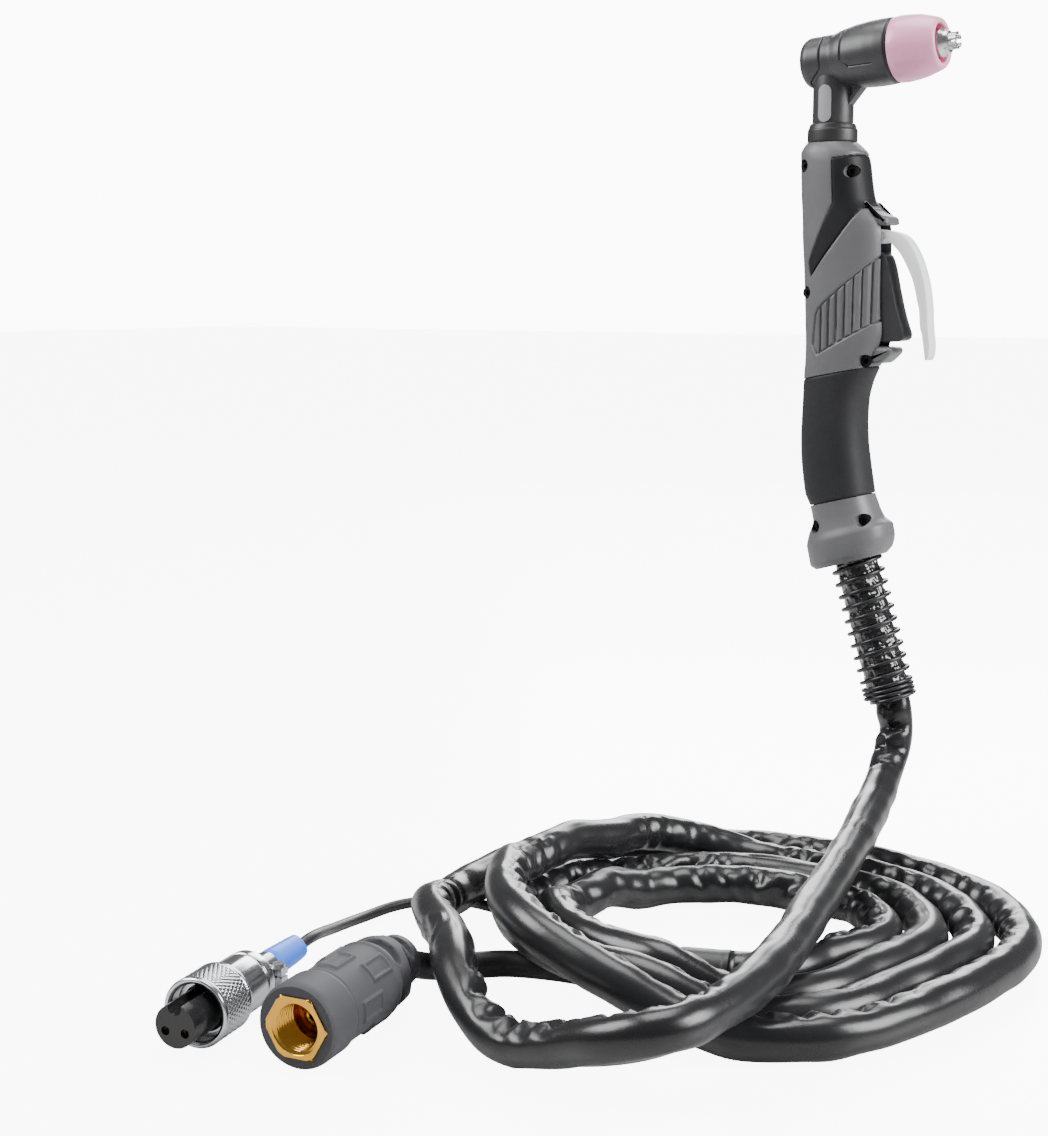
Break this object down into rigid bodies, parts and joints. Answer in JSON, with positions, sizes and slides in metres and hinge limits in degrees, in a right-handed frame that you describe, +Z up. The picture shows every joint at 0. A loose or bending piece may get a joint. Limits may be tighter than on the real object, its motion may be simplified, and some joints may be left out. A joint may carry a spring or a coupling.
{
  "type": "plasma cutting torch",
  "caption": "Hand-held plasma cutting torch: angled head with ceramic cup and crowned nozzle, trigger with safety lever, spring strain relief, coiled sheathed lead, gas connector and plug.",
  "frame": {"origin": "the middle of the grip, on the plane where the two handle halves meet", "axes": "+X the way the nozzle and the trigger point, +Z up along the handle towards the head, +Y out of the left handle half; the lead lies on a floor below the origin"},
  "size_m": [0.2497, 0.3797, 0.3731],
  "materials": {
    "head_plastic": "moulded, fine grain",
    "insert_plastic": "satin moulded",
    "seal_rubber": "smooth black",
    "cup_ceramic": "unglazed pink ceramic, stood in for by a gloss plastic",
    "liner_red": "dark red insulator",
    "nozzle_chrome": "plated, polished",
    "copper": "turned copper",
    "brass": "turned brass",
    "handle_plastic": "fine spark-eroded grain",
    "inlay_plastic": "darker moulded",
    "grip_rubber": "soft overmoulded grip",
    "trigger_plastic": "satin moulded",
    "lever_plastic": "milky translucent",
    "steel": "zinc plated",
    "black_steel": "black oxide",
    "switch_plastic": "moulded",
    "hose_rubber": "smooth hose cover",
    "wire_pvc": "wire insulation",
    "spring_steel": "dark drawn wire",
    "sleeve_rubber": "shrunk black tube, shiny",
    "sheath_fabric": "soft coated cover, stitched shut along its length",
    "boot_rubber": "matt moulded rubber",
    "insert_black": "moulded insulator",
    "plug_chrome": "satin chrome",
    "shrink_blue": "heat-shrink tube"
  },
  "bodies": {
    "torch": {"torch_head": "head_plastic", "neck_inserts": "insert_plastic", "neck_collar": "seal_rubber", "head_o_ring": "seal_rubber", "shield_cup": "cup_ceramic", "cup_liner": "liner_red", "nozzle": "nozzle_chrome", "electrode": "copper", "swirl_ring": "liner_red", "cathode_body": "brass", "torch_tube": "brass", "tube_nut": "brass", "inner_hose": "hose_rubber", "switch_wires": "wire_pvc", "handle_right": "handle_plastic", "handle_left": "handle_plastic", "upper_inlay_right": "inlay_plastic", "upper_inlay_left": "inlay_plastic", "grip_right": "grip_rubber", "grip_left": "grip_rubber", "handle_screws": "black_steel", "trigger_pin": "steel", "trigger_spring": "steel", "lever_pin": "steel", "lever_spring": "steel", "switch_body": "switch_plastic", "switch_pins": "steel", "relief_spring": "spring_steel", "relief_sleeve": "sleeve_rubber", "lead_riser": "sheath_fabric", "lead_coil": "sheath_fabric", "lead_end_band": "seal_rubber", "power_hose": "hose_rubber", "control_cable": "hose_rubber", "connector_nipple": "brass", "boot_clip": "steel", "plug_insert": "insert_black", "plug_contacts": "brass", "plug_shell": "plug_chrome", "plug_clamp": "plug_chrome", "clamp_screws": "steel", "heat_shrink": "shrink_blue"},
    "lever": {"lever": "lever_plastic"},
    "trigger": {"trigger": "trigger_plastic"},
    "plunger": {"switch_plunger": "insert_plastic"},
    "plug_collar": {"plug_ring": "plug_chrome"},
    "connector": {"connector_boot": "boot_rubber", "connector_nut": "brass"}
  },
  "joints": [
    {"name": "lever_pivot", "type": "hinge", "parent": "torch", "child": "lever", "pos_m": [0.0195, 0, 0.0825], "axis": [0, 1, 0], "range_deg": [0, 12], "stiffness_Nm_per_rad": 0.03, "springref_deg": -22.92},
    {"name": "trigger_pivot", "type": "hinge", "parent": "torch", "child": "trigger", "pos_m": [0.0179, 0, 0.0721], "axis": [0, 1, 0], "range_deg": [0, 4.5]},
    {"name": "plunger_slide", "type": "slide", "parent": "torch", "child": "plunger", "axis": [-1, 0, 0], "range_m": [0, 0.0016]},
    {"name": "plug_ring_turn", "type": "hinge", "parent": "torch", "child": "plug_collar", "pos_m": [-0.06709, -0.34733, -0.1835], "axis": [-0.2164, 0.9763, 0], "continuous": true},
    {"name": "nut_turn", "type": "hinge", "parent": "torch", "child": "connector", "pos_m": [-0.02938, -0.32595, -0.181], "axis": [-0.1736, 0.9848, 0], "continuous": true}
  ],
  "couplings": [
    {"joint": "trigger_pivot", "follows": "lever_pivot", "ratio": 0.35},
    {"joint": "plunger_slide", "follows": "lever_pivot", "m_per_rad": 0.0075}
  ]
}
